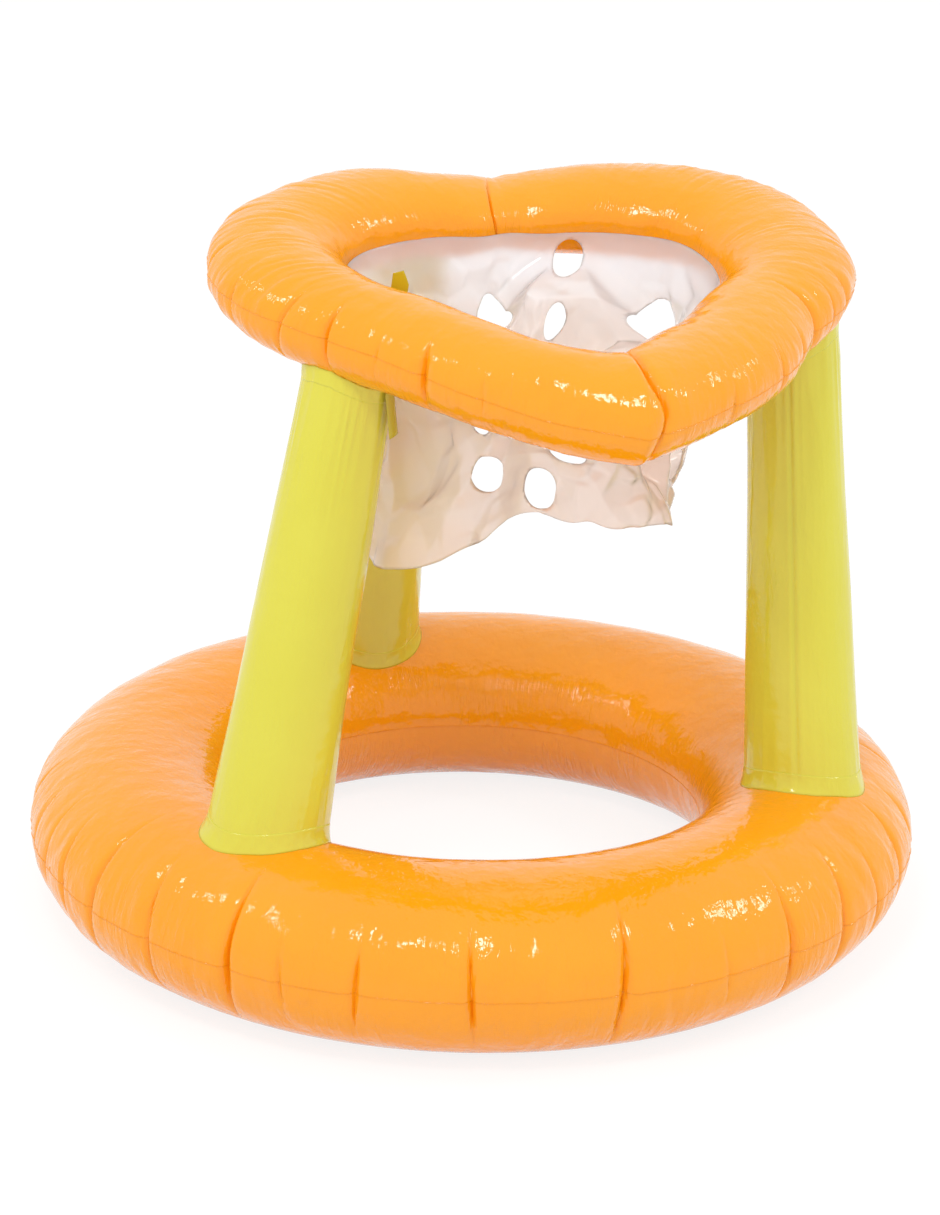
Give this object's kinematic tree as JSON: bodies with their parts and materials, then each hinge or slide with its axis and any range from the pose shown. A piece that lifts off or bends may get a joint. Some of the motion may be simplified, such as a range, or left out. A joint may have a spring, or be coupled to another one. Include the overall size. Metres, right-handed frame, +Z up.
{
  "type": "floating basketball hoop",
  "caption": "Inflatable floating hoop game: a base ring, three tapered film legs, a heart-shaped hoop ring and a hanging net of punched film.",
  "frame": {"origin": "middle of the base ring on the ground", "axes": "+Z up; -Y to the front, where the hoop dips; +X to the right when seen from the front"},
  "size_m": [0.665, 0.665, 0.5343],
  "materials": {
    "orange_film": "glossy vinyl film",
    "lime_film": "glossy vinyl film",
    "net_film": "thin translucent vinyl film",
    "valve_vinyl": "soft moulded vinyl"
  },
  "bodies": {
    "floating_hoop": {"base_upper_film": "orange_film", "base_lower_film": "orange_film", "hoop_upper_film": "orange_film", "hoop_lower_film": "orange_film", "left_leg_sleeve": "lime_film", "right_leg_sleeve": "lime_film", "back_leg_sleeve": "lime_film", "left_foot_collar": "lime_film", "right_foot_collar": "lime_film", "back_foot_collar": "lime_film", "left_top_collar": "lime_film", "right_top_collar": "lime_film", "back_top_collar": "lime_film", "left_upper_tab": "lime_film", "left_lower_tab": "lime_film", "net": "net_film", "base_valve_plate": "valve_vinyl", "hoop_valve_plate": "valve_vinyl"},
    "base_stem": {"base_valve_stem": "valve_vinyl"},
    "base_stopper": {"base_valve_stopper": "valve_vinyl"},
    "base_flap": {"base_valve_flap": "valve_vinyl"},
    "hoop_stem": {"hoop_valve_stem": "valve_vinyl"},
    "hoop_stopper": {"hoop_valve_stopper": "valve_vinyl"},
    "hoop_flap": {"hoop_valve_flap": "valve_vinyl"}
  },
  "joints": [
    {"name": "base_stem_slide", "type": "slide", "parent": "floating_hoop", "child": "base_stem", "axis": [0.4334, 0.701, 0.5664], "range_m": [0, 0.01]},
    {"name": "base_stopper_hinge", "type": "hinge", "parent": "base_stem", "child": "base_stopper", "pos_m": [0.16868, 0.26993, 0.09703], "axis": [0.8505, -0.5259, 0], "range_deg": [0, 165]},
    {"name": "base_flap_hinge", "type": "hinge", "parent": "base_stem", "child": "base_flap", "pos_m": [0.1619, 0.25896, 0.08525], "axis": [-0.8505, 0.5259, 0], "range_deg": [0, 60]},
    {"name": "hoop_stem_slide", "type": "slide", "parent": "floating_hoop", "child": "hoop_stem", "axis": [0.0324, 0.6908, 0.7223], "range_m": [0, 0.01]},
    {"name": "hoop_stopper_hinge", "type": "hinge", "parent": "hoop_stem", "child": "hoop_stopper", "pos_m": [0.12417, 0.1432, 0.52628], "axis": [0.9989, -0.0469, 0], "range_deg": [0, 165]},
    {"name": "hoop_flap_hinge", "type": "hinge", "parent": "hoop_stem", "child": "hoop_flap", "pos_m": [0.12369, 0.13298, 0.51212], "axis": [-0.9989, 0.0469, 0], "range_deg": [0, 60]}
  ]
}
